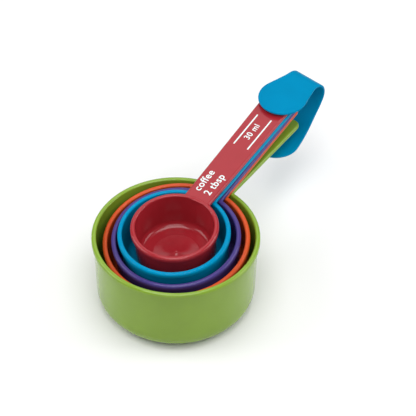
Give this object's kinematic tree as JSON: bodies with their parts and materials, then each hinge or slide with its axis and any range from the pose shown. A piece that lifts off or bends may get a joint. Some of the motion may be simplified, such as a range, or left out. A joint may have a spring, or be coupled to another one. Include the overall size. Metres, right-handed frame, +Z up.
{
  "type": "measuring cup set",
  "caption": "Nesting set of round measuring cups with flat bar handles, held together through the handle holes by a soft snap strap.",
  "frame": {"origin": "centre of the largest cup's base, on the surface it stands on", "axes": "+X along the handles towards the strap, +Z up, out of the cups' mouths"},
  "size_m": [0.1792, 0.092, 0.0652],
  "materials": {
    "one_cup": "moulded plastic, soft gloss",
    "half_cup": "moulded plastic, soft gloss",
    "third_cup": "moulded plastic, soft gloss",
    "quarter_cup": "moulded plastic, soft gloss",
    "coffee_scoop": "moulded plastic, soft gloss",
    "strap": "soft satin"
  },
  "bodies": {
    "one_cup": {"one_cup": "one_cup"},
    "half_cup": {"half_cup": "half_cup"},
    "third_cup": {"third_cup": "third_cup"},
    "quarter_cup": {"quarter_cup": "quarter_cup"},
    "coffee_scoop": {"coffee_scoop": "coffee_scoop"},
    "strap": {"strap_base": "strap"},
    "flap": {"strap_flap": "strap"}
  },
  "joints": [
    {"name": "half_lift", "type": "slide", "parent": "one_cup", "child": "half_cup", "axis": [0, 0, 1], "range_m": [0, 0.008]},
    {"name": "third_lift", "type": "slide", "parent": "half_cup", "child": "third_cup", "axis": [0, 0, 1], "range_m": [0, 0.008]},
    {"name": "quarter_lift", "type": "slide", "parent": "third_cup", "child": "quarter_cup", "axis": [0, 0, 1], "range_m": [0, 0.008]},
    {"name": "scoop_lift", "type": "slide", "parent": "quarter_cup", "child": "coffee_scoop", "axis": [0, 0, 1], "range_m": [0, 0.008]},
    {"name": "strap_swivel", "type": "hinge", "parent": "one_cup", "child": "strap", "pos_m": [0.105, 0.0004, 0.04627], "axis": [0, 0, 1], "range_deg": [-80, 95]},
    {"name": "strap_open", "type": "hinge", "parent": "strap", "child": "flap", "pos_m": [0.12328, -0.00168, 0.06517], "axis": [0.1132, 0.9936, 0], "range_deg": [0, 170]}
  ],
  "couplings": [
    {"joint": "third_lift", "follows": "half_lift", "ratio": 1},
    {"joint": "quarter_lift", "follows": "half_lift", "ratio": 1},
    {"joint": "scoop_lift", "follows": "half_lift", "ratio": 1},
    {"joint": "strap_open", "follows": "half_lift", "rad_per_m": 370.37}
  ]
}
